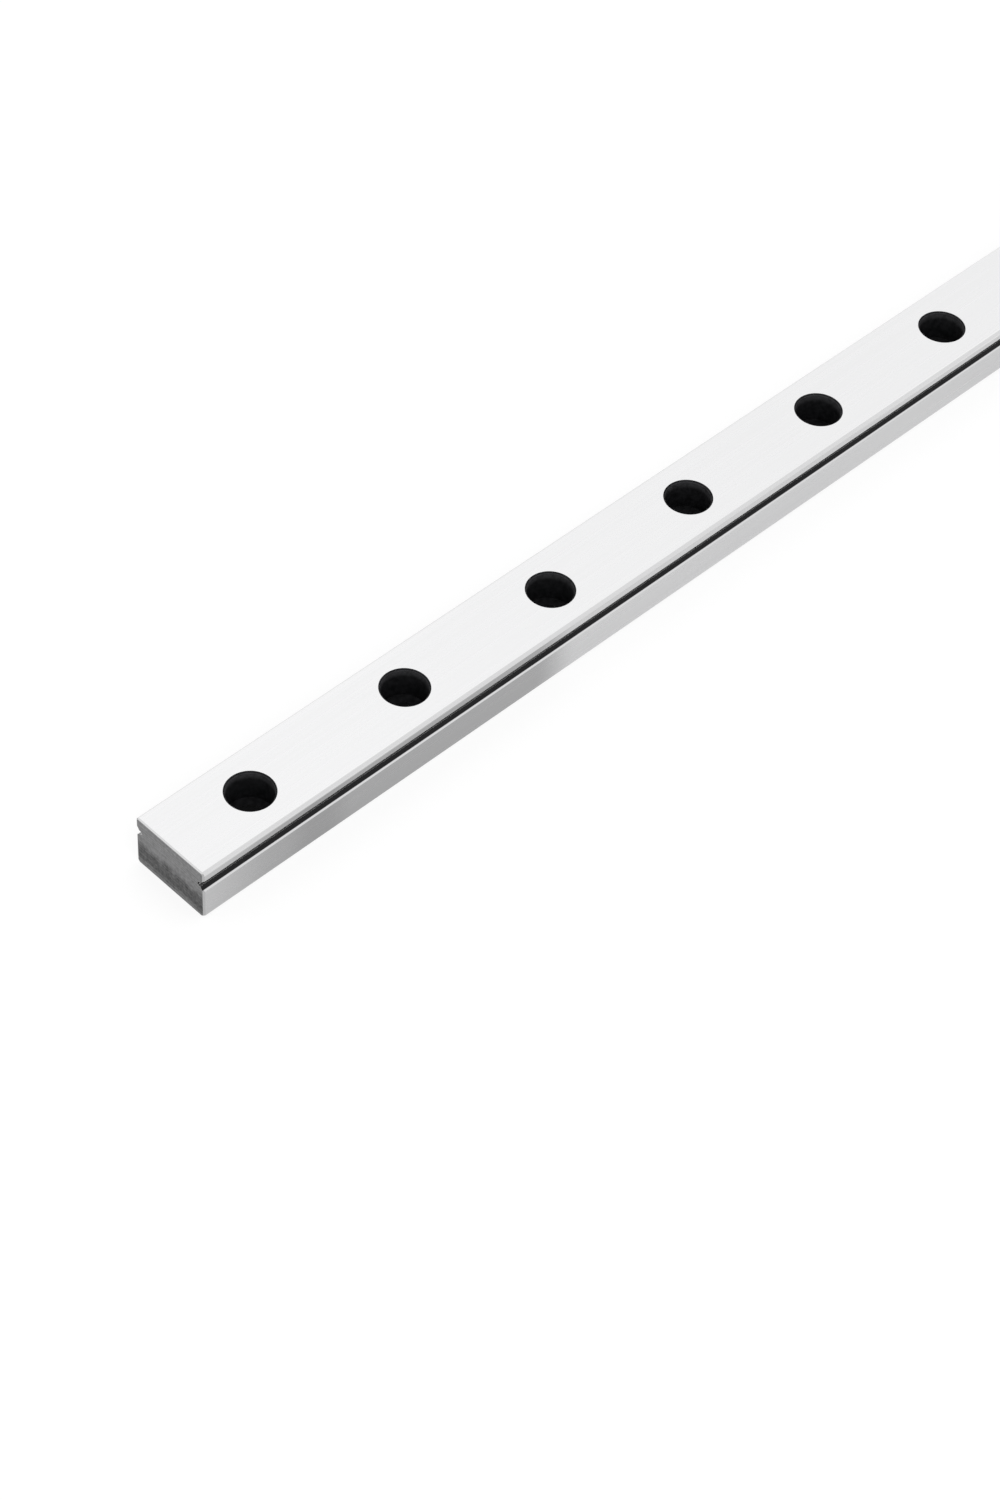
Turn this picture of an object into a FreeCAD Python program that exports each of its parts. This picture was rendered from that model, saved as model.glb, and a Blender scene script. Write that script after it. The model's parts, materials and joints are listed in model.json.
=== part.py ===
"""Profile linear guide rail: one ground steel bar with a gothic-arch ball track along each side
and a row of counterbored screw holes down the middle.

Frame: origin at the middle of the ground underside, +X along the rail, +Y across it, +Z up.
Lengths are in millimetres.
"""

import FreeCAD
import Part
import math
import os

# Bar
rail_length = 300.0
rail_width = 12.0
rail_height = 8.0
top_edge_chamfer = 0.45
bottom_edge_chamfer = 0.5
end_edge_chamfer = 0.2

# Ball tracks: each flank is an arc a little larger than the ball, so the two meet in a pointed arch
ball_diameter = 2.0
flank_radius_per_ball_diameter = 0.52
contact_angle_degrees = 45.0
track_centre_below_top = 2.3
ball_centre_outside_side = 0.4
track_edge_break = 0.1
relief_slot_width = 0.6
relief_slot_depth_below_track = 0.45

# Screw holes: the row is centred, with as many holes as the length has room for
screw_pitch = 25.0
least_end_distance = 5.0
screw_hole_diameter = 3.5
head_seat_diameter = 6.0
head_seat_depth = 4.5
head_mouth_chamfer = 0.2
underside_mouth_chamfer = 0.2

# How far a cutting shape runs past the face that it cuts
overrun = 1.0

X = FreeCAD.Vector(1, 0, 0)
Y = FreeCAD.Vector(0, 1, 0)
Z = FreeCAD.Vector(0, 0, 1)
ORIGIN = FreeCAD.Vector(0, 0, 0)


def polygon_face(points):
    """Flat face inside a closed run of straight edges."""
    return Part.Face(Part.makePolygon(points + points[:1]))


class Track:
    """Half section of one ball track, given as depth into the side and height from the track's centre."""

    def __init__(self):
        self.flank_radius = flank_radius_per_ball_diameter * ball_diameter
        contact = math.radians(contact_angle_degrees)
        excess = self.flank_radius - ball_diameter / 2
        # Each flank's centre lies past the ball's centre, on the line from the contact point
        self.centre_out = ball_centre_outside_side + excess * math.cos(contact)
        self.centre_shift = excess * math.sin(contact)

    def flank_height(self, depth):
        """Height of the flank above the track's centre, at a depth into the rail's side."""
        return math.sqrt(self.flank_radius**2 - (self.centre_out + depth) ** 2) - self.centre_shift

    def flank_depth(self, height):
        """Depth of the flank into the rail's side, at a height above the track's centre."""
        return math.sqrt(self.flank_radius**2 - (self.centre_shift + height) ** 2) - self.centre_out

    def flank_middle(self):
        """Depth and height of a point half way along the flank."""
        height = (self.flank_height(track_edge_break) + relief_slot_width / 2) / 2
        return self.flank_depth(height), height


def side_edges():
    """Edges of the section's +Y side, from the underside's chamfer up to the top's chamfer."""
    track = Track()
    side = rail_width / 2
    centre = rail_height - track_centre_below_top

    def at(depth, height):
        return FreeCAD.Vector(0, side - depth, height)

    def half_track(upward):
        """Side edge, edge break, flank and slot wall on one side of the track's centre."""
        mouth = track.flank_height(track_edge_break)
        middle_depth, middle_height = track.flank_middle()
        slot = relief_slot_width / 2
        slot_floor = track.flank_depth(0) + relief_slot_depth_below_track
        corners = [
            at(0, centre + upward * (mouth + track_edge_break)),
            at(track_edge_break, centre + upward * mouth),
            at(track.flank_depth(slot), centre + upward * slot),
            at(slot_floor - slot, centre + upward * slot),
        ]
        flank_top = at(middle_depth, centre + upward * middle_height)
        flank = Part.Arc(corners[1], flank_top, corners[2]).toShape()
        return corners, [
            Part.makeLine(corners[0], corners[1]),
            flank,
            Part.makeLine(corners[2], corners[3]),
        ]

    lower, lower_edges = half_track(-1)
    upper, upper_edges = half_track(1)
    slot_floor = at(track.flank_depth(0) + relief_slot_depth_below_track, centre)
    return [
        Part.makeLine(at(bottom_edge_chamfer, 0), at(0, bottom_edge_chamfer)),
        Part.makeLine(at(0, bottom_edge_chamfer), lower[0]),
        *lower_edges,
        Part.Arc(lower[-1], slot_floor, upper[-1]).toShape(),
        *upper_edges,
        Part.makeLine(upper[0], at(0, rail_height - top_edge_chamfer)),
        Part.makeLine(at(0, rail_height - top_edge_chamfer), at(top_edge_chamfer, rail_height)),
    ]


def rail_section():
    """Closed face of the rail's section across its length: the +Y side, its mirror and two flats."""
    right = side_edges()
    left = [edge.mirror(ORIGIN, Y) for edge in right]
    flats = []
    for height, chamfer in ((0, bottom_edge_chamfer), (rail_height, top_edge_chamfer)):
        reach = rail_width / 2 - chamfer
        flats.append(
            Part.makeLine(FreeCAD.Vector(0, -reach, height), FreeCAD.Vector(0, reach, height))
        )
    return Part.Face(Part.Wire(Part.__sortEdges__(right + left + flats)))


def plain_bar():
    """The section carried along the whole length."""
    section = rail_section()
    section.translate(X * (-rail_length / 2))
    return section.extrude(X * rail_length)


def end_trimmer(across, low, high):
    """Bar as long as the rail with its four long-way corners cut off at the ends.

    It is drawn in the plane of X and the direction across, from low to high, and is
    carried along the third direction past the rail on both sides.
    """
    end = rail_length / 2
    inner = end - end_edge_chamfer
    outline = []
    for x, offset in (
        (-end, low + end_edge_chamfer),
        (-inner, low),
        (inner, low),
        (end, low + end_edge_chamfer),
        (end, high - end_edge_chamfer),
        (inner, high),
        (-inner, high),
        (-end, high - end_edge_chamfer),
    ):
        outline.append(X * x + across * offset)
    third = X.cross(across)
    reach = rail_width + rail_height + overrun
    face = polygon_face(outline)
    face.translate(third * -reach)
    return face.extrude(third * (2 * reach))


def screw_positions():
    """X of each screw hole: the row is centred between the rail's ends."""
    count = math.floor((rail_length - 2 * least_end_distance) / screw_pitch) + 1
    first = -(count - 1) * screw_pitch / 2
    return [first + i * screw_pitch for i in range(count)]


def screw_hole_cutter():
    """Turned shape of one screw hole on the Z axis: through hole, head seat and both mouth chamfers."""
    hole = screw_hole_diameter / 2
    head = head_seat_diameter / 2
    seat = rail_height - head_seat_depth
    outline = [
        (0, -overrun),
        (hole + underside_mouth_chamfer + overrun, -overrun),
        (hole, underside_mouth_chamfer),
        (hole, seat),
        (head, seat),
        (head, rail_height - head_mouth_chamfer),
        (head + head_mouth_chamfer + overrun, rail_height + overrun),
        (0, rail_height + overrun),
    ]
    face = polygon_face([FreeCAD.Vector(radius, 0, height) for radius, height in outline])
    return face.revolve(ORIGIN, Z, 360)


def guide_rail():
    """The finished rail: bar, broken end edges and the row of screw holes."""
    rail = plain_bar()
    rail = rail.common(end_trimmer(Y, -rail_width / 2, rail_width / 2))
    rail = rail.common(end_trimmer(Z, 0, rail_height))
    cutter = screw_hole_cutter()
    holes = [cutter.translated(X * position) for position in screw_positions()]
    return rail.cut(holes).removeSplitter().Solids[0]


os.makedirs("parts", exist_ok=True)
rail = guide_rail()
rail.exportStep("parts/guide_rail.step")
print("guide_rail", "valid", rail.isValid(), "volume", round(rail.Volume, 2), "mm3")
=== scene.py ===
import json
import math
from functools import cached_property

import bmesh
import bpy
import numpy as np
from bpy.props import FloatProperty, FloatVectorProperty, IntProperty, PointerProperty
from mathutils import Matrix, Vector


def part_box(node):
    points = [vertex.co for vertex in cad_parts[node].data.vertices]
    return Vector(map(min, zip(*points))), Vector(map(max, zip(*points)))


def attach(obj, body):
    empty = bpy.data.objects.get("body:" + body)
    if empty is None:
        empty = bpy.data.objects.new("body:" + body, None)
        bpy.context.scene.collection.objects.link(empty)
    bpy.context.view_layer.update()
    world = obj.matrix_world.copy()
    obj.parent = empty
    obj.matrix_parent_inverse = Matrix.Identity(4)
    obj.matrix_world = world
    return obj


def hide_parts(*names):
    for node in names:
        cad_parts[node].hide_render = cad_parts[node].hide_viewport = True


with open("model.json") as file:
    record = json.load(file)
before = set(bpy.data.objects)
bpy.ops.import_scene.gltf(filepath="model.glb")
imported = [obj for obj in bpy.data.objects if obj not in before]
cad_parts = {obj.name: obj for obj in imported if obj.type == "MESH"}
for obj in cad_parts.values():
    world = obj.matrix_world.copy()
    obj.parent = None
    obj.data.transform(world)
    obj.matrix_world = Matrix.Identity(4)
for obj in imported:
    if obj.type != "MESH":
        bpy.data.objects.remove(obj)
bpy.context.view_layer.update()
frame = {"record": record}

bl_info = {
    "name": "Profile Guide Rail",
    "version": (1, 0, 0),
    "blender": (4, 5, 0),
    "location": "3D View > Sidebar > Guide Rail",
    "description": "Builds a ground steel profile guide rail and the studio that it stands in",
    "category": "Add Mesh",
}

MM = 0.001
BLACK = (0, 0, 0, 1)
WHITE = (1, 1, 1, 1)
NODE = "guide_rail"
LOW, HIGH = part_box(NODE)
SCREW_HOLES = [m for m in frame["record"]["mounts"] if m["kind"] == "bore"]
HOLE_XS = sorted(m["pos_m"][0] for m in SCREW_HOLES)
HOLE_PITCH = (HOLE_XS[-1] - HOLE_XS[0]) / (len(HOLE_XS) - 1)

# Order of the rail's materials on its mesh
GROUND, SCALE, CUT = range(3)


def length(name, description, default):
    """A size in metres that a user may change."""
    return FloatProperty(name=name, description=description, default=default, unit="LENGTH", precision=5)


def share(name, description, default):
    """A number between nothing and all."""
    return FloatProperty(
        name=name,
        description=description,
        default=default,
        min=0,
        max=1,
        subtype="FACTOR",
    )


def colour(name, description, default):
    """A plain colour."""
    return FloatVectorProperty(
        name=name,
        description=description,
        default=default,
        min=0,
        max=1,
        subtype="COLOR",
    )


def angle(name, description, degrees):
    """A turn, given here in degrees."""
    turn = math.radians(degrees)
    return FloatProperty(name=name, description=description, default=turn, subtype="ANGLE")


def point(name, description, default):
    """A point in the part's frame, in metres."""
    return FloatVectorProperty(
        name=name,
        description=description,
        default=default,
        subtype="XYZ",
        unit="LENGTH",
    )


class RailSizes(bpy.types.PropertyGroup):
    """Sizes of the rail's section, its ball tracks and its screw holes."""

    rail_length: length("Length", "Length of the bar", HIGH.x - LOW.x)
    width: length("Width", "Width across the two sides", HIGH.y - LOW.y)
    height: length("Height", "Height from the underside to the top", HIGH.z - LOW.z)
    top_chamfer: length("Top chamfer", "Chamfer between the top and each side", 0.45 * MM)
    bottom_chamfer: length("Bottom chamfer", "Chamfer between the underside and each side", 0.5 * MM)
    end_chamfer: length("End chamfer", "Broken edge round each sawn end", 0.2 * MM)
    arris: length("Arris", "Size of the soft arris that grinding leaves on an edge", 0.05 * MM)
    ball: length("Ball", "Diameter of the balls that run in the tracks", 2.0 * MM)
    ball_out: length("Ball out", "How far the ball's centre lies outside the rail's side", 0.4 * MM)
    track_drop: length("Track drop", "Depth of the tracks' centre line below the top", 2.3 * MM)
    track_break: length("Track break", "Broken edge along each side of a track", 0.1 * MM)
    slot_width: length("Slot width", "Width of the relief slot at the bottom of a track", 0.6 * MM)
    slot_depth: length("Slot depth", "Depth of the relief slot below the track", 0.45 * MM)
    hole: length("Hole", "Diameter of the screw holes", 2 * SCREW_HOLES[0]["dims"]["r_mm"] * MM)
    seat: length("Seat", "Diameter of the seats for the screw heads", 6.0 * MM)
    seat_depth: length("Seat depth", "Depth of the seats below the top", 4.5 * MM)
    mouth: length("Mouth", "Chamfer at both mouths of each hole", 0.2 * MM)
    hole_sides: IntProperty(
        name="Hole sides",
        description="Straight sides that draw one hole",
        default=72,
        min=24,
    )


class SteelLook(bpy.types.PropertyGroup):
    """Colours and finish of the steel."""

    # Painted light: the flats carry the lit tone, the chamfers and sides painted shade of the same
    # steel.
    ground: colour("Ground flats", "Colour of the ground top and underside", (0.89, 0.89, 0.895))
    chamfer: colour("Chamfers", "Colour of the long chamfers", (0.72, 0.72, 0.725))
    side: colour("Ground sides", "Colour of the sides, duller than the top", (0.605, 0.605, 0.61))
    # Painted shade: the sides darker still on a stretch near the -X end.
    shaded_stretch_level: share("Dulled stretch", "Level of the sides' colour where they are duller still", 0.62)
    # In the tracks this colour also stands for painted shade on the ground flanks.
    scale: colour("Hardening scale", "Colour inside the holes and the tracks", (0.010, 0.010, 0.011))
    cut: colour("Cut end", "Colour of the two cut ends", (0.22, 0.22, 0.222))
    gloss: share("Roughness", "Roughness of the ground faces", 0.30)
    grain: share("Grinding lines", "Strength of the long grinding lines", 0.5)


class StudioLook(bpy.types.PropertyGroup):
    """Floor, light and camera."""

    floor: colour("Floor", "Colour of the floor", (0.24, 0.24, 0.24))
    lift: share("Lift", "How much lighter than its colour the floor shows, as white paper", 0.755)
    room: share("Room", "Level of the room's light, where 1 is white", 1.0)
    key_power: FloatProperty(
        name="Key power",
        description="Power of the soft lamp over the camera",
        default=4.6,
        unit="POWER",
    )
    key_size: length("Key size", "Width and height of the soft lamp", 0.9)
    key_place: point("Key place", "Where the soft lamp hangs, facing the origin", (-0.5, -0.75, 1.1))
    lens: FloatProperty(
        name="Lens",
        description="Focal length on a picture 36 mm high",
        default=83.205,
        unit="CAMERA",
    )
    yaw: angle("Yaw", "Turn of the view from +Y towards +X", 47.561)
    pitch: angle("Pitch", "Tilt of the view below the horizon", 47.935)
    roll: angle("Roll", "Turn of the picture about the line of sight", 4.214)
    place: point("Place", "Where the camera stands", (-0.31557, -0.20202, 0.31510))


def softened(points, size, steps=4, least_turn=math.radians(20)):
    """An open run of straight edges with each sharp inner corner turned into a small curve.

    A corner B between A and C becomes (1-t)^2 P + 2 t (1-t) B + t^2 Q, where P and Q lie on its two
    edges, size away from it. Corners that turn less than least_turn, as along an arc, stay as they are.
    """
    before, corner, after = points[:-2], points[1:-1], points[2:]
    back = before - corner
    ahead = after - corner
    back_length = np.linalg.norm(back, axis=1, keepdims=True)
    ahead_length = np.linalg.norm(ahead, axis=1, keepdims=True)
    straight = -(back * ahead).sum(1) / (back_length * ahead_length)[:, 0]
    sharp = np.arccos(np.clip(straight, -1, 1)) > least_turn
    reach = np.minimum(size, np.minimum(back_length, ahead_length) / 2) * sharp[:, None]
    start = (corner + back / back_length * reach)[:, None]
    end = (corner + ahead / ahead_length * reach)[:, None]
    t = np.linspace(0, 1, steps)[None, :, None]
    curve = (1 - t) ** 2 * start + 2 * t * (1 - t) * corner[:, None] + t**2 * end
    kept = np.ones(curve.shape[:2], bool)
    kept[~sharp, 1:] = False
    return np.vstack([points[:1], curve[kept], points[-1:]])


class Track:
    """One ball track's half section, as depth into the side and height from the track's centre.

    A flank is the arc (depth + out)^2 + (height + shift)^2 = radius^2: a little larger than the ball
    and centred past it, so that the two flanks meet in a pointed arch and the ball touches at 45
    degrees. CONFORMITY is the flank's radius as a share of the ball's diameter.
    """

    CONFORMITY = 0.52
    FLANK_STEPS = 9
    SLOT_STEPS = 9

    def __init__(self, s):
        self.radius = self.CONFORMITY * s.ball
        excess = (self.radius - s.ball / 2) / math.sqrt(2)
        self.out, self.shift = s.ball_out + excess, excess
        self.edge, self.slot, self.below = s.track_break, s.slot_width / 2, s.slot_depth

    def height(self, depth):
        return np.sqrt(self.radius**2 - (depth + self.out) ** 2) - self.shift

    def depth(self, height):
        return np.sqrt(self.radius**2 - (height + self.shift) ** 2) - self.out

    def half(self):
        """Points from the slot's wall out to the rail's side, over one flank and its broken edge."""
        mouth = self.height(self.edge)
        heights = np.linspace(self.slot, mouth, self.FLANK_STEPS)
        flank = np.c_[self.depth(heights), heights]
        return np.vstack([flank, [[0, mouth + self.edge]]])

    def points(self):
        """The whole track from its lower edge to its upper one, round the slot's half circle."""
        half = self.half()
        turn = np.linspace(-math.pi / 2, math.pi / 2, self.SLOT_STEPS)
        floor = self.depth(0) + self.below - self.slot
        slot = np.c_[floor + self.slot * np.cos(turn), self.slot * np.sin(turn)]
        return np.vstack([half[::-1] * (1, -1), slot, half])


def side_profile(s):
    """(y, z) from the underside's flat up the +Y side to the top's flat, with softened arrises."""
    side = s.width / 2
    track = Track(s).points()
    track = np.c_[side - track[:, 0], s.height - s.track_drop + track[:, 1]]
    below = [
        (side - s.bottom_chamfer - s.arris, 0),
        (side - s.bottom_chamfer, 0),
        (side, s.bottom_chamfer),
    ]
    above = [
        (side, s.height - s.top_chamfer),
        (side - s.top_chamfer, s.height),
        (side - s.top_chamfer - s.arris, s.height),
    ]
    return softened(np.vstack([below, track, above]), s.arris)


def hole_profile(s):
    """(radius, height) of a screw hole from the top down through the head seat to the underside."""
    seat, hole = s.seat / 2, s.hole / 2
    corners = [
        (seat + s.mouth + s.arris, s.height),
        (seat + s.mouth, s.height),
        (seat, s.height - s.mouth),
        (seat, s.height - s.seat_depth),
        (hole, s.height - s.seat_depth),
        (hole, s.mouth),
        (hole + s.mouth, 0),
        (hole + s.mouth + s.arris, 0),
    ]
    return softened(np.array(corners), s.arris)


def end_profile(s):
    """(x, inset) at the +X end: where the long faces stop, round the broken edge, to the end face."""
    end = s.rail_length / 2
    corners = [
        (end - s.end_chamfer - s.arris, 0),
        (end - s.end_chamfer, 0),
        (end, s.end_chamfer),
        (end, s.end_chamfer + s.arris),
    ]
    return softened(np.array(corners), s.arris)


def cell_border(s, half_width):
    """Border of the flat round one hole, as shares of half the pitch and half the flat's width.

    Points lie where rays at even angles from the hole's centre cross the border's four edges, so
    that share along = cot(angle) * width / pitch on the long edges, and likewise on the short ones.
    Returns the rays' angles, the shares, and the shares along a long and a short edge.
    """
    half_pitch = HOLE_PITCH / 2
    corner = math.atan2(half_width, half_pitch)
    short_count = max(2, round(s.hole_sides * corner / math.pi))
    long_count = s.hole_sides // 2 - short_count
    short_angles = np.linspace(-corner, corner, short_count + 1)
    long_angles = np.linspace(corner, math.pi - corner, long_count + 1)
    across = half_pitch / half_width * np.tan(short_angles)
    along = half_width / half_pitch / np.tan(long_angles)
    one = np.ones_like
    border = np.vstack(
        [
            np.c_[one(across), across][:-1],
            np.c_[along, one(along)][:-1],
            np.c_[-one(across), -across][:-1],
            np.c_[-along, -one(along)][:-1],
        ]
    )
    half_turn = np.r_[short_angles[:-1], long_angles[:-1]]
    return np.r_[half_turn, half_turn + math.pi], border, along[::-1], across


def grid_faces(rows, columns, start=0, closed=False):
    """Corner numbers of the four-sided faces between the points of a grid of rows and columns.

    Point (row, column) has the number start + row * columns + column. With closed, the last column
    is joined to the first.
    """
    row = np.arange(rows - 1)[:, None]
    column = np.arange(columns if closed else columns - 1)[None, :]
    beside = (column + 1) % columns
    corners = (row * columns + column, row * columns + beside)
    above = ((row + 1) * columns + beside, (row + 1) * columns + column)
    return start + np.stack([*corners, *above], axis=-1).reshape(-1, 4)


class Skin:
    """Points and faces collected from several grids that make one closed surface."""

    WELD = 0.0005 * MM
    SHARP_TURN = math.radians(40)

    def __init__(self):
        self.points, self.faces, self.finish = [], [], []
        self.count = 0

    def add_grid(self, grid, finish, closed=False):
        """Adds a grid of points (rows, columns, 3).

        finish is one material number, or one for each row of faces.
        """
        rows, columns = grid.shape[:2]
        faces = grid_faces(rows, columns, self.count, closed)
        per_row = len(faces) // (rows - 1)
        self.points.append(grid.reshape(-1, 3))
        self.faces += faces.tolist()
        self.finish += np.repeat(np.broadcast_to(finish, rows - 1), per_row).tolist()
        self.count += rows * columns

    def add_cap(self, ring, finish):
        """Adds one flat face round a closed ring of points."""
        self.points.append(ring)
        self.faces.append(list(range(self.count, self.count + len(ring))))
        self.finish.append(finish)
        self.count += len(ring)

    def mesh(self, name, materials):
        """The mesh with the grids' shared borders welded and all faces pointing outwards."""
        mesh = bpy.data.meshes.new(name)
        mesh.from_pydata(np.vstack(self.points), [], self.faces)
        mesh.polygons.foreach_set("material_index", self.finish)
        for material in materials:
            mesh.materials.append(material)
        shape = bmesh.new()
        shape.from_mesh(mesh)
        bmesh.ops.remove_doubles(shape, verts=shape.verts, dist=self.WELD)
        bmesh.ops.recalc_face_normals(shape, faces=shape.faces)
        loose = sum(1 for edge in shape.edges if not edge.is_manifold)
        if loose:
            raise RuntimeError(f"{name} has {loose} open edges")
        shape.to_mesh(mesh)
        shape.free()
        mesh.polygons.foreach_set("use_smooth", np.ones(len(mesh.polygons), bool))
        mesh.set_sharp_from_angle(angle=self.SHARP_TURN)
        return mesh


def rail_skin(s):
    """The rail's whole surface: hole cells, two long sides, broken end edges and end faces."""
    skin = Skin()
    profile = side_profile(s)
    bottom_half, top_half = profile[0, 0], profile[-1, 0]
    stations = end_profile(s)
    flat_end = stations[0, 0]
    angles, border, along, across = cell_border(s, top_half)

    # Hole cells: for each angle round a hole, the top's border, the turned hole, the underside's border
    hole = hole_profile(s)
    turned = np.empty((len(HOLE_XS), len(hole) + 2, len(angles), 3))
    for row, half, height in ((0, top_half, s.height), (-1, bottom_half, 0)):
        turned[:, row, :, 0] = border[:, 0] * HOLE_PITCH / 2
        turned[:, row, :, 1] = border[:, 1] * half
        turned[:, row, :, 2] = height
    turned[:, 1:-1, :, 0] = hole[:, :1] * np.cos(angles)
    turned[:, 1:-1, :, 1] = hole[:, :1] * np.sin(angles)
    turned[:, 1:-1, :, 2] = hole[:, 1:]
    turned[..., 0] += np.array(HOLE_XS)[:, None, None]
    turned[..., 0] = np.clip(turned[..., 0], -flat_end, flat_end)
    finish = np.full(len(hole) + 1, SCALE)
    finish[[0, 1, -2, -1]] = GROUND
    for cell in turned:
        skin.add_grid(cell, finish, closed=True)

    # Long sides: the side profile carried along X through every point of the cells' long edges
    xs = (np.array(HOLE_XS)[:, None] + along[:-1] * HOLE_PITCH / 2).ravel()
    xs = np.clip(np.r_[xs, flat_end], -flat_end, flat_end)
    for side in (1, -1):
        grid = np.empty((len(profile), len(xs), 3))
        grid[..., 0] = xs
        grid[..., 1] = side * profile[:, :1]
        grid[..., 2] = profile[:, 1:]
        skin.add_grid(grid, GROUND)

    # Ends: the section's ring drawn in to a smaller box from station to station, then closed
    ring = np.vstack(
        [
            profile,
            np.c_[-across[1:] * top_half, np.full(len(across) - 1, s.height)],
            (profile * (-1, 1))[::-1][1:],
            np.c_[across[1:-1] * bottom_half, np.zeros(len(across) - 2)],
        ]
    )
    inset = stations[:, 1:]
    for end in (1, -1):
        grid = np.empty((len(stations), len(ring), 3))
        grid[..., 0] = end * stations[:, :1]
        grid[..., 1] = np.clip(ring[:, 0], inset - s.width / 2, s.width / 2 - inset)
        grid[..., 2] = np.clip(ring[:, 1], inset, s.height - inset)
        skin.add_grid(grid, GROUND, closed=True)
        skin.add_cap(grid[-1], CUT)
    return skin


class Value:
    """A number carried by a shader socket, so that node maths reads as a Python expression."""

    def __init__(self, shader, socket):
        self.shader, self.socket = shader, socket

    def maths(self, operation, *others):
        terms = dict(enumerate((self, *others)))
        node = self.shader.node("ShaderNodeMath", {"operation": operation}, terms)
        return Value(self.shader, node.outputs[0])

    def __add__(self, other):
        return self.maths("ADD", other)

    def __radd__(self, other):
        return self.maths("ADD", other)

    def __sub__(self, other):
        return self.maths("SUBTRACT", other)

    def __rsub__(self, other):
        return self.shader.number(other).maths("SUBTRACT", self)

    def __mul__(self, other):
        return self.maths("MULTIPLY", other)

    def __rmul__(self, other):
        return self.maths("MULTIPLY", other)

    def __abs__(self):
        return self.maths("ABSOLUTE")

    def most(self, other):
        return self.maths("MAXIMUM", other)

    def root(self):
        return self.maths("SQRT")

    def fade(self, low, high, start=0.0, end=1.0):
        """Runs smoothly from start to end as this value goes from low to high."""
        node = self.shader.node(
            "ShaderNodeMapRange",
            {"interpolation_type": "SMOOTHSTEP"},
            {"Value": self, "From Min": low, "From Max": high, "To Min": start, "To Max": end},
        )
        return Value(self.shader, node.outputs["Result"])

    def until(self, low, high):
        """1 where this value is under low, falling smoothly to 0 at high."""
        return 1 - self.fade(low, high)


class Shader:
    """Node tree of a material or world, with a method for any node and names for the usual ones."""

    def __init__(self, owner, output="ShaderNodeOutputMaterial"):
        self.owner = owner
        owner.use_nodes = True
        self.tree = owner.node_tree
        self.tree.nodes.clear()
        self.output = self.node(output)

    @cached_property
    def place(self):
        """The shaded point in the part's frame, in metres."""
        return self.node("ShaderNodeTexCoord").outputs["Object"]

    @classmethod
    def material(cls, name):
        return cls(bpy.data.materials.new(name))

    def node(self, kind, settings=None, sockets=None):
        """Makes a node, sets its settings, then gives its sockets their values or links."""
        node = self.tree.nodes.new(kind)
        for key, value in (settings or {}).items():
            setattr(node, key, value)
        for key, value in (sockets or {}).items():
            if isinstance(value, Value):
                value = value.socket
            if isinstance(value, bpy.types.NodeSocket):
                self.tree.links.new(value, node.inputs[key])
            else:
                node.inputs[key].default_value = value
        return node

    def number(self, value):
        """A plain number as a Value, for the left side of an expression."""
        node = self.node("ShaderNodeValue")
        node.outputs[0].default_value = value
        return Value(self, node.outputs[0])

    def axes(self):
        """x, y and z of the shaded point."""
        node = self.node("ShaderNodeSeparateXYZ", sockets={"Vector": self.place})
        return [Value(self, node.outputs[axis]) for axis in "XYZ"]

    def noise(self, stretch, detail=2.0, roughness=0.5, move=(0, 0, 0)):
        """Soft random field from 0 to 1, with stretch waves to the metre along each axis."""
        mapping = {"Vector": self.place, "Location": move, "Scale": stretch}
        mapped = self.node("ShaderNodeMapping", sockets=mapping)
        node = self.node(
            "ShaderNodeTexNoise",
            {"noise_dimensions": "3D"},
            {"Vector": mapped.outputs[0], "Scale": 1.0, "Detail": detail, "Roughness": roughness},
        )
        return Value(self, node.outputs["Fac"])

    def rings(self, radius, waves, detail):
        """Random field from 0 to 1 that changes with the radius alone, with waves to the metre."""
        node = self.node(
            "ShaderNodeTexNoise",
            {"noise_dimensions": "1D"},
            {"W": radius, "Scale": waves, "Detail": detail},
        )
        return Value(self, node.outputs["Fac"])

    def blend(self, factor, low, high):
        """Colour that runs from low to high as factor goes from 0 to 1."""
        node = self.node("ShaderNodeMix", {"data_type": "RGBA"})
        used = [socket for socket in node.inputs if socket.enabled]
        for socket, value in zip(used, (factor, low, high)):
            if isinstance(value, Value):
                value = value.socket
            if isinstance(value, bpy.types.NodeSocket):
                self.tree.links.new(value, socket)
            else:
                socket.default_value = value
        return next(socket for socket in node.outputs if socket.enabled)

    def relief(self, height, depth):
        """Normal of a surface that the height field raises by up to depth metres."""
        bump = {"Height": height, "Distance": depth, "Strength": 1.0}
        return self.node("ShaderNodeBump", sockets=bump).outputs["Normal"]

    def metal(self, **sockets):
        """A Principled surface on the output. Names use _ for a space."""
        named = {key.replace("_", " "): value for key, value in sockets.items()}
        return self.finish(self.node("ShaderNodeBsdfPrincipled", sockets=named))

    def finish(self, node):
        """Puts the node on the tree's output and returns the material or world."""
        self.tree.links.new(node.outputs[0], self.output.inputs["Surface"])
        return self.owner


def rgba(colour_value, level=1.0):
    """A colour property as the four numbers of a colour socket, made darker or lighter by level."""
    return (*[channel * level for channel in colour_value], 1.0)


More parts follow.
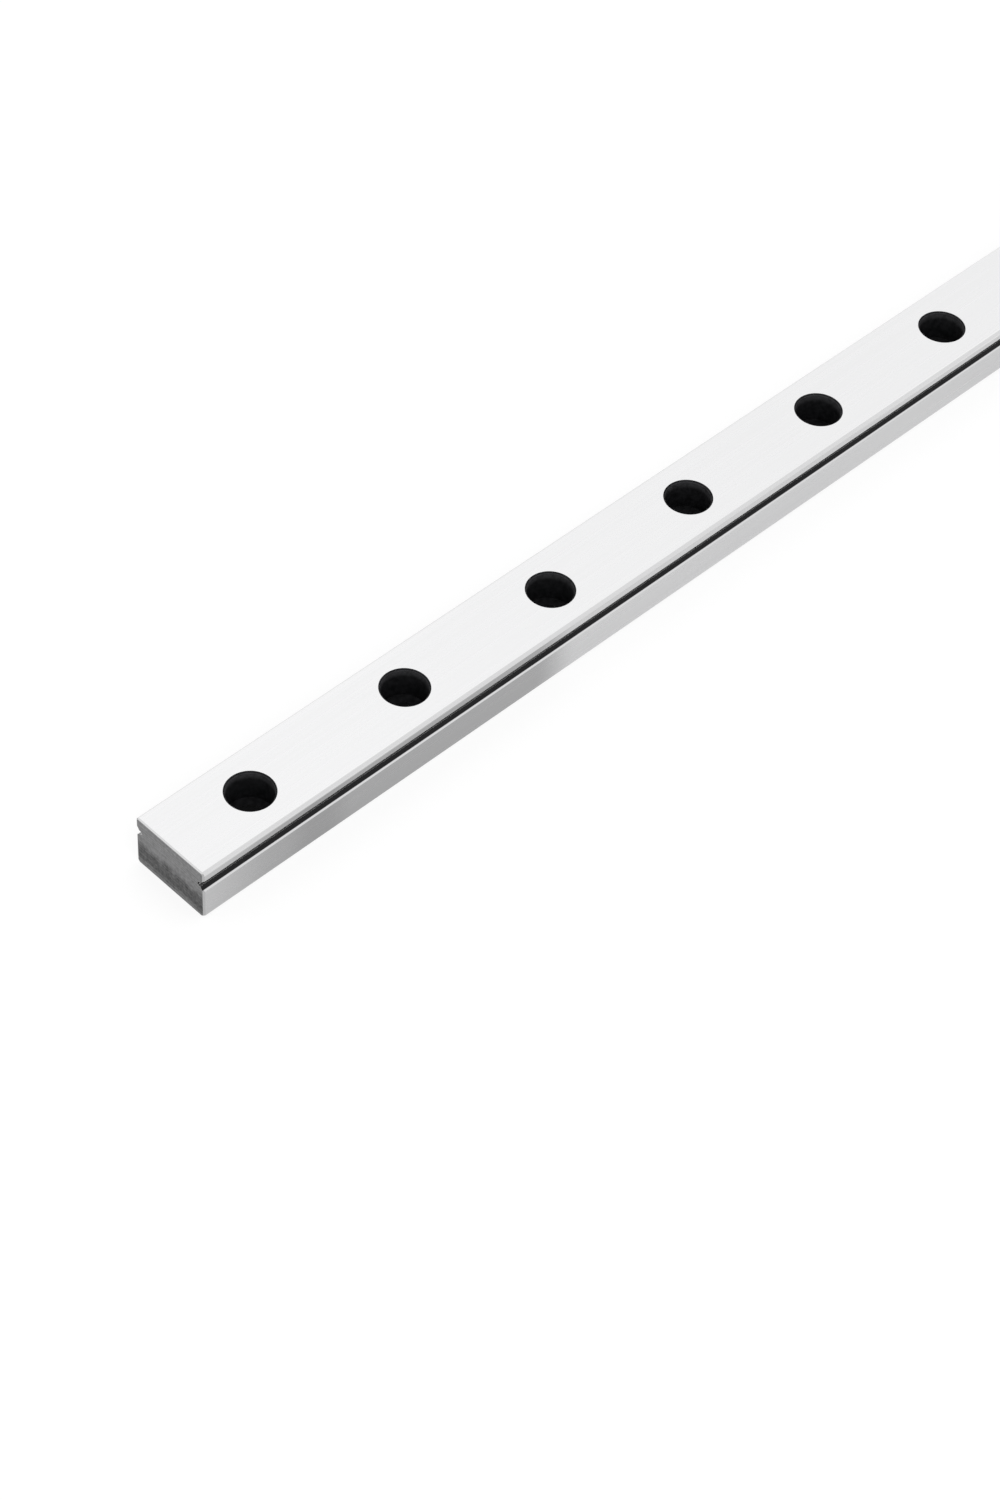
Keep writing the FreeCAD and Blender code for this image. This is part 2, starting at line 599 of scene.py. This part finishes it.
def track_scale_and_shade(sizes, depth, height):
    """1 inside a ball track and its relief slot, and 0 on the slot's lit lower wall.
    The slot is black scale; on the ground flanks the darkness is painted shade under the lip.

    depth runs into the side, and height runs up from the track's centre.
    """
    mouth = (0.05 * MM, 0.12 * MM)
    half_opening = (0.75 * MM, 0.80 * MM)
    wall_middle = 0.04 * MM
    wall_reach = (0.037 * MM, 0.047 * MM)
    wall_start, wall_end = 0.04 * MM, 0.12 * MM

    track = Track(sizes)
    start, end = track.depth(track.slot), track.depth(0) + track.below
    wall = abs(height + track.slot - wall_middle).until(*wall_reach)
    wall *= depth.fade(start, start + wall_start) * depth.until(end - wall_end, end)
    return depth.fade(*mouth) * abs(height).until(*half_opening) * (1 - wall)


def arris_highlight_and_wear(sh, sizes, across, z):
    """1 along the rail's long outer edges, and 0 a little way from them: painted highlight and wear.

    across is the distance from the rail's middle plane.
    """
    edge_reach = (0.03 * MM, 0.14 * MM)
    side = sizes.width / 2
    arrises = (
        (side, sizes.bottom_chamfer),
        (side, sizes.height - sizes.top_chamfer),
        (side - sizes.top_chamfer, sizes.height),
    )
    highlight_and_wear = sh.number(0)
    for edge_across, edge_z in arrises:
        sideways, up = across - edge_across, z - edge_z
        highlight_and_wear = highlight_and_wear.most((sideways * sideways + up * up).root().until(*edge_reach))
    return highlight_and_wear


def side_shade_colour(sh, sizes, look, x):
    """Painted shade on the sides: darker still near the -X end, lighter at the corner, with a darker
    band.
    """
    shaded_stretch = (54 * MM, 62 * MM)
    light_corner = (0, 13 * MM)
    darker_band_rise, darker_band_fall = (12 * MM, 17 * MM), (19 * MM, 24 * MM)
    corner_share, darker_band_share = 0.55, 0.14

    from_end = x + sizes.rail_length / 2
    ground = rgba(look.side)
    # Painted shade: the sides darken further over a stretch from the -X end.
    tone = sh.blend(from_end.until(*shaded_stretch), ground, rgba(look.side, look.shaded_stretch_level))
    tone = sh.blend(from_end.until(*light_corner) * corner_share, tone, ground)
    darker_band = from_end.fade(*darker_band_rise) * from_end.until(*darker_band_fall)
    return sh.blend(darker_band * darker_band_share, tone, BLACK)


def flat_highlight_colour(sh, sizes, look, x):
    """Colour of the top and underside: a painted highlight, lighter at the -X end, easing to the middle.
    """
    end_level, middle_level = 1.035, 0.98
    # Painted highlight: the flats lighter towards the -X end.
    drift = x.fade(-sizes.rail_length / 2, 0)
    return sh.blend(drift, rgba(look.ground, end_level), rgba(look.ground, middle_level))


def face_colours(sh, sizes, look, x, depth, z):
    """Colour of each face of the bar: chamfers, sides, flats, and the broken edges of the ends.

    depth runs into the side. The broken edges keep the cut end's grey below the top.
    The chamfers and sides carry painted shade: darker copies of the flats' steel.
    """
    side_skin = (0.02 * MM, 0.05 * MM)
    flat_skin = (0.04 * MM, 0.01 * MM)
    end_blend = 0.02 * MM
    top_keep = (0.25 * MM, 0.15 * MM)
    end_level = 2.0

    half_height = sizes.height / 2
    end_edge = sizes.rail_length / 2 - sizes.end_chamfer
    on_flat = abs(z - half_height).fade(*(half_height - skin for skin in flat_skin))
    on_end = abs(x).fade(end_edge, end_edge + end_blend)
    below_top = z.until(*(sizes.height - keep for keep in top_keep))
    # Painted shade: the chamfers and sides take darker tones than the flats.
    colours = sh.blend(depth.until(*side_skin), rgba(look.chamfer), side_shade_colour(sh, sizes, look, x))
    colours = sh.blend(on_flat, colours, flat_highlight_colour(sh, sizes, look, x))
    return sh.blend(on_end * below_top, colours, rgba(look.cut, end_level))


def ground_steel(sizes, look):
    """Bright ground steel: fine lines along the rail, a soft drift, painted shade on chamfers and sides,
    painted highlight and wear on the arrises, and tracks dark with scale and painted shade.
    """
    span = (0.3, 0.7)
    line_dark, line_share = 0.12 * look.grain, 0.4
    drift_dark = 0.97
    highlight_and_wear_steel, highlight_and_wear_share, worn_gloss = (0.95, 0.95, 0.95), 0.5, 0.08
    highlight_and_wear_patches = (0.35, 0.7)
    gloss_spread, track_roughness = 0.05, 0.3
    line_depth = 0.004 * MM * look.grain

    sh = Shader.material("ground_steel")
    x, y, z = sh.axes()
    fine = sh.noise((40, 9000, 9000), detail=3)
    lines = sh.noise((12, 2600, 2600), detail=2, move=(3, 0, 0))
    drift = sh.noise((14, 60, 60), detail=1, move=(0, 5, 0))
    grain = (fine + lines) * 0.5
    across = abs(y)
    depth = sizes.width / 2 - across
    # Tracks: black scale in the relief slot, painted shade on the ground flanks under the lip.
    dark = track_scale_and_shade(sizes, depth, z - (sizes.height - sizes.track_drop))
    highlight_and_wear = arris_highlight_and_wear(sh, sizes, across, z) * drift.fade(*highlight_and_wear_patches)

    tone = grain.fade(*span, 1 - line_dark, 1) * drift.fade(0.2, 0.8, drift_dark, 1)
    colours = face_colours(sh, sizes, look, x, depth, z)
    bright = sh.blend(tone * line_share + (1 - line_share), BLACK, colours)
    # Painted highlight and wear: the arrises turn lighter.
    bright = sh.blend(highlight_and_wear * highlight_and_wear_share, bright, rgba(highlight_and_wear_steel))
    roughness = grain.fade(*span, look.gloss + gloss_spread, look.gloss - gloss_spread)
    return sh.metal(
        Base_Color=sh.blend(dark, bright, rgba(look.scale)),
        Metallic=1 - dark,
        Roughness=roughness - highlight_and_wear * worn_gloss + dark * track_roughness,
        Specular_IOR_Level=0.15,
        Normal=sh.relief(grain, line_depth),
    )


def hardening_scale(sizes, look):
    """Black unground steel inside the holes: matt, a little mottled, with painted light on the seat wall
    below the mouth.
    """
    mouth_light_reach, mouth_light_stop = 1.2 * MM, 0.05 * MM
    mouth_light_steel, mouth_light_metal = (0.08, 0.08, 0.085), 0.7
    dark_level, pale_level = 0.6, 1.6
    smoothest, roughest = 0.5, 0.75
    pit_depth = 0.01 * MM

    sh = Shader.material("hardening_scale")
    _, _, z = sh.axes()
    mottle = sh.noise((1500, 1500, 1500), detail=4, roughness=0.6)
    wall_top = sizes.height - sizes.mouth
    # Painted light: the seat wall turns lighter and more metallic towards the mouth.
    mouth_light = z.fade(wall_top - mouth_light_reach, wall_top) * z.until(wall_top, wall_top + mouth_light_stop)
    dark = sh.blend(mottle.fade(0.3, 0.75), rgba(look.scale, dark_level), rgba(look.scale, pale_level))
    patchy = mouth_light * mottle.fade(0.2, 0.6, 0.5, 1)
    return sh.metal(
        Base_Color=sh.blend(patchy, dark, rgba(mouth_light_steel)),
        Metallic=mouth_light * mouth_light_metal,
        Roughness=mottle.fade(0.2, 0.8, smoothest, roughest),
        Specular_IOR_Level=0.1,
        Normal=sh.relief(mottle, pit_depth),
    )


def cut_end(sizes, look):
    """Grey cut face: arcs left by the cutting wheel, a darker lower band and a fine matt tooth.

    The arcs are rings round the wheel's centre, which lies straight below the rail. The dark band's
    edges wander with two noises, and it gives way to a lighter foot just above the underside.
    """
    wheel_radius, wheel_waves = 75 * MM, 5200
    wander = 1.6 * MM
    band_top, foot_top = (2.4 * MM, 5.2 * MM), (0.5 * MM, 1.5 * MM)
    foot_level = 0.6
    band_level, face_level = 0.20, 0.80
    tooth_swing, blotch_swing = 1.1, 0.5
    dark_level, pale_level = 0.15, 1.15
    smoothest, roughest = 0.42, 0.58
    tooth_depth = 0.012 * MM

    sh = Shader.material("cut_end")
    _, y, z = sh.axes()
    rise = z + wheel_radius
    marks = sh.rings((y * y + rise * rise).root(), wheel_waves, detail=3)
    tooth = sh.noise((2600, 2600, 2600), detail=3)
    blotch = sh.noise((900, 900, 900), detail=2, move=(1, 0, 4))
    cloud = sh.noise((260, 260, 260), detail=2, move=(0, 2, 1))
    edge = z + (cloud - 0.5) * wander + (blotch - 0.5) * wander
    bare = edge.fade(*band_top).most(edge.until(*foot_top) * foot_level)
    tone = (marks + tooth) * 0.5
    level = bare.fade(0, 1, band_level, face_level)
    level = level + (tone - 0.5) * tooth_swing + (blotch - 0.5) * blotch_swing
    return sh.metal(
        Base_Color=sh.blend(level, rgba(look.cut, dark_level), rgba(look.cut, pale_level)),
        Metallic=0.85,
        Roughness=tone.fade(0.3, 0.7, roughest, smoothest),
        Normal=sh.relief(tone, tooth_depth),
    )


def floor_white(studio):
    """Matt floor that the camera and the steel see lifted by a glow, so that it reads as white paper."""
    sh = Shader.material("floor_white")
    rays = sh.node("ShaderNodeLightPath").outputs
    kinds = ("Camera", "Glossy", "Transmission")
    camera, glossy, through = (Value(sh, rays[f"Is {kind} Ray"]) for kind in kinds)
    seen = camera.most(glossy).most(through)
    paper = {"Base Color": rgba(studio.floor), "Roughness": 0.8, "Specular IOR Level": 0.1}
    surface = sh.node("ShaderNodeBsdfPrincipled", sockets=paper)
    glow = sh.node("ShaderNodeEmission", sockets={"Strength": seen * studio.lift})
    both = {0: surface.outputs[0], 1: glow.outputs[0]}
    return sh.finish(sh.node("ShaderNodeAddShader", sockets=both))


class RAIL_OT_make_rail(bpy.types.Operator):
    """Builds the guide rail as one closed steel surface"""

    bl_idname = "guide_rail.make_rail"
    bl_label = "Make rail"

    FULL_WEIGHT = 100

    def execute(self, context):
        sizes, look = context.scene.rail_sizes, context.scene.steel_look
        materials = [ground_steel(sizes, look), hardening_scale(sizes, look), cut_end(sizes, look)]
        mesh = rail_skin(sizes).mesh("rail", materials)
        rail = bpy.data.objects.new("rail", mesh)
        context.scene.collection.objects.link(rail)
        weighted = rail.modifiers.new("even_normals", "WEIGHTED_NORMAL")
        weighted.mode = "FACE_AREA"
        weighted.weight = self.FULL_WEIGHT
        weighted.keep_sharp = True
        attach(rail, "root")
        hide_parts(NODE)
        return {"FINISHED"}


def make_key_lamp(scene, studio):
    """A square area lamp that faces the part's origin, and that the steel doesn't mirror."""
    data = bpy.data.lights.new("key", "AREA")
    data.shape = "SQUARE"
    data.size = studio.key_size
    data.energy = studio.key_power
    lamp = bpy.data.objects.new("key", data)
    lamp.visible_glossy = False
    lamp.location = studio.key_place
    lamp.rotation_euler = (-Vector(studio.key_place)).to_track_quat("-Z", "Y").to_euler()
    scene.collection.objects.link(lamp)


def make_world(scene, studio):
    """A plain room that is white all round."""
    sh = Shader(bpy.data.worlds.new("room"), "ShaderNodeOutputWorld")
    back = sh.node("ShaderNodeBackground", sockets={"Color": WHITE, "Strength": studio.room})
    scene.world = sh.finish(back)


def make_camera(scene, studio):
    """Camera from its place, yaw, pitch and roll: the view's axes are turned about the line of sight."""
    picture_height_mm = 36
    nearest = 10 * MM
    cos, sin = math.cos, math.sin
    yaw, pitch, roll = studio.yaw, studio.pitch, studio.roll
    ahead = Vector((cos(pitch) * sin(yaw), cos(pitch) * cos(yaw), -sin(pitch)))
    level = Vector((cos(yaw), -sin(yaw), 0))
    upright = level.cross(ahead)
    right = level * cos(roll) + upright * sin(roll)
    up = upright * cos(roll) - level * sin(roll)
    data = bpy.data.cameras.new("camera")
    data.sensor_width = picture_height_mm
    data.lens = studio.lens
    data.clip_start = nearest
    camera = bpy.data.objects.new("camera", data)
    scene.collection.objects.link(camera)
    turn = Matrix((right, up, -ahead)).transposed().to_4x4()
    camera.matrix_world = Matrix.Translation(studio.place) @ turn
    scene.camera = camera


class RAIL_OT_make_studio(bpy.types.Operator):
    """Builds the pale floor, the soft lamp, the room's light and the camera"""

    bl_idname = "guide_rail.make_studio"
    bl_label = "Make studio"

    FLOOR_REACH = 6.0
    FLOOR_GAP = 0.02 * MM

    def execute(self, context):
        scene = context.scene
        studio = scene.studio_look
        scene.view_settings.view_transform = "Standard"
        mesh = bpy.data.meshes.new("floor")
        reach, level = self.FLOOR_REACH, LOW.z - self.FLOOR_GAP
        square = ((-1, -1), (1, -1), (1, 1), (-1, 1))
        mesh.from_pydata([(x * reach, y * reach, level) for x, y in square], [], [range(4)])
        mesh.materials.append(floor_white(studio))
        floor = bpy.data.objects.new("floor", mesh)
        scene.collection.objects.link(floor)
        make_key_lamp(scene, studio)
        make_world(scene, studio)
        make_camera(scene, studio)
        return {"FINISHED"}


class RAIL_PT_panel(bpy.types.Panel):
    """Lists what the guide rail add-on makes and its sizes"""

    bl_label = "Guide Rail"
    bl_idname = "RAIL_PT_panel"
    bl_space_type = "VIEW_3D"
    bl_region_type = "UI"
    bl_category = "Guide Rail"

    def draw(self, context):
        layout = self.layout
        for operator, group in (
            (RAIL_OT_make_rail, context.scene.rail_sizes),
            (None, context.scene.steel_look),
            (RAIL_OT_make_studio, context.scene.studio_look),
        ):
            if operator:
                layout.operator(operator.bl_idname)
            for name in group.__annotations__:
                layout.prop(group, name)


GROUPS = {"rail_sizes": RailSizes, "steel_look": SteelLook, "studio_look": StudioLook}
CLASSES = (*GROUPS.values(), RAIL_OT_make_rail, RAIL_OT_make_studio, RAIL_PT_panel)


def register():
    for cls in CLASSES:
        bpy.utils.register_class(cls)
    for name, group in GROUPS.items():
        setattr(bpy.types.Scene, name, PointerProperty(type=group))


def unregister():
    for name in GROUPS:
        delattr(bpy.types.Scene, name)
    for cls in reversed(CLASSES):
        bpy.utils.unregister_class(cls)


def main():
    register()
    bpy.ops.guide_rail.make_rail()
    bpy.ops.guide_rail.make_studio()


if __name__ == "__main__":
    main()
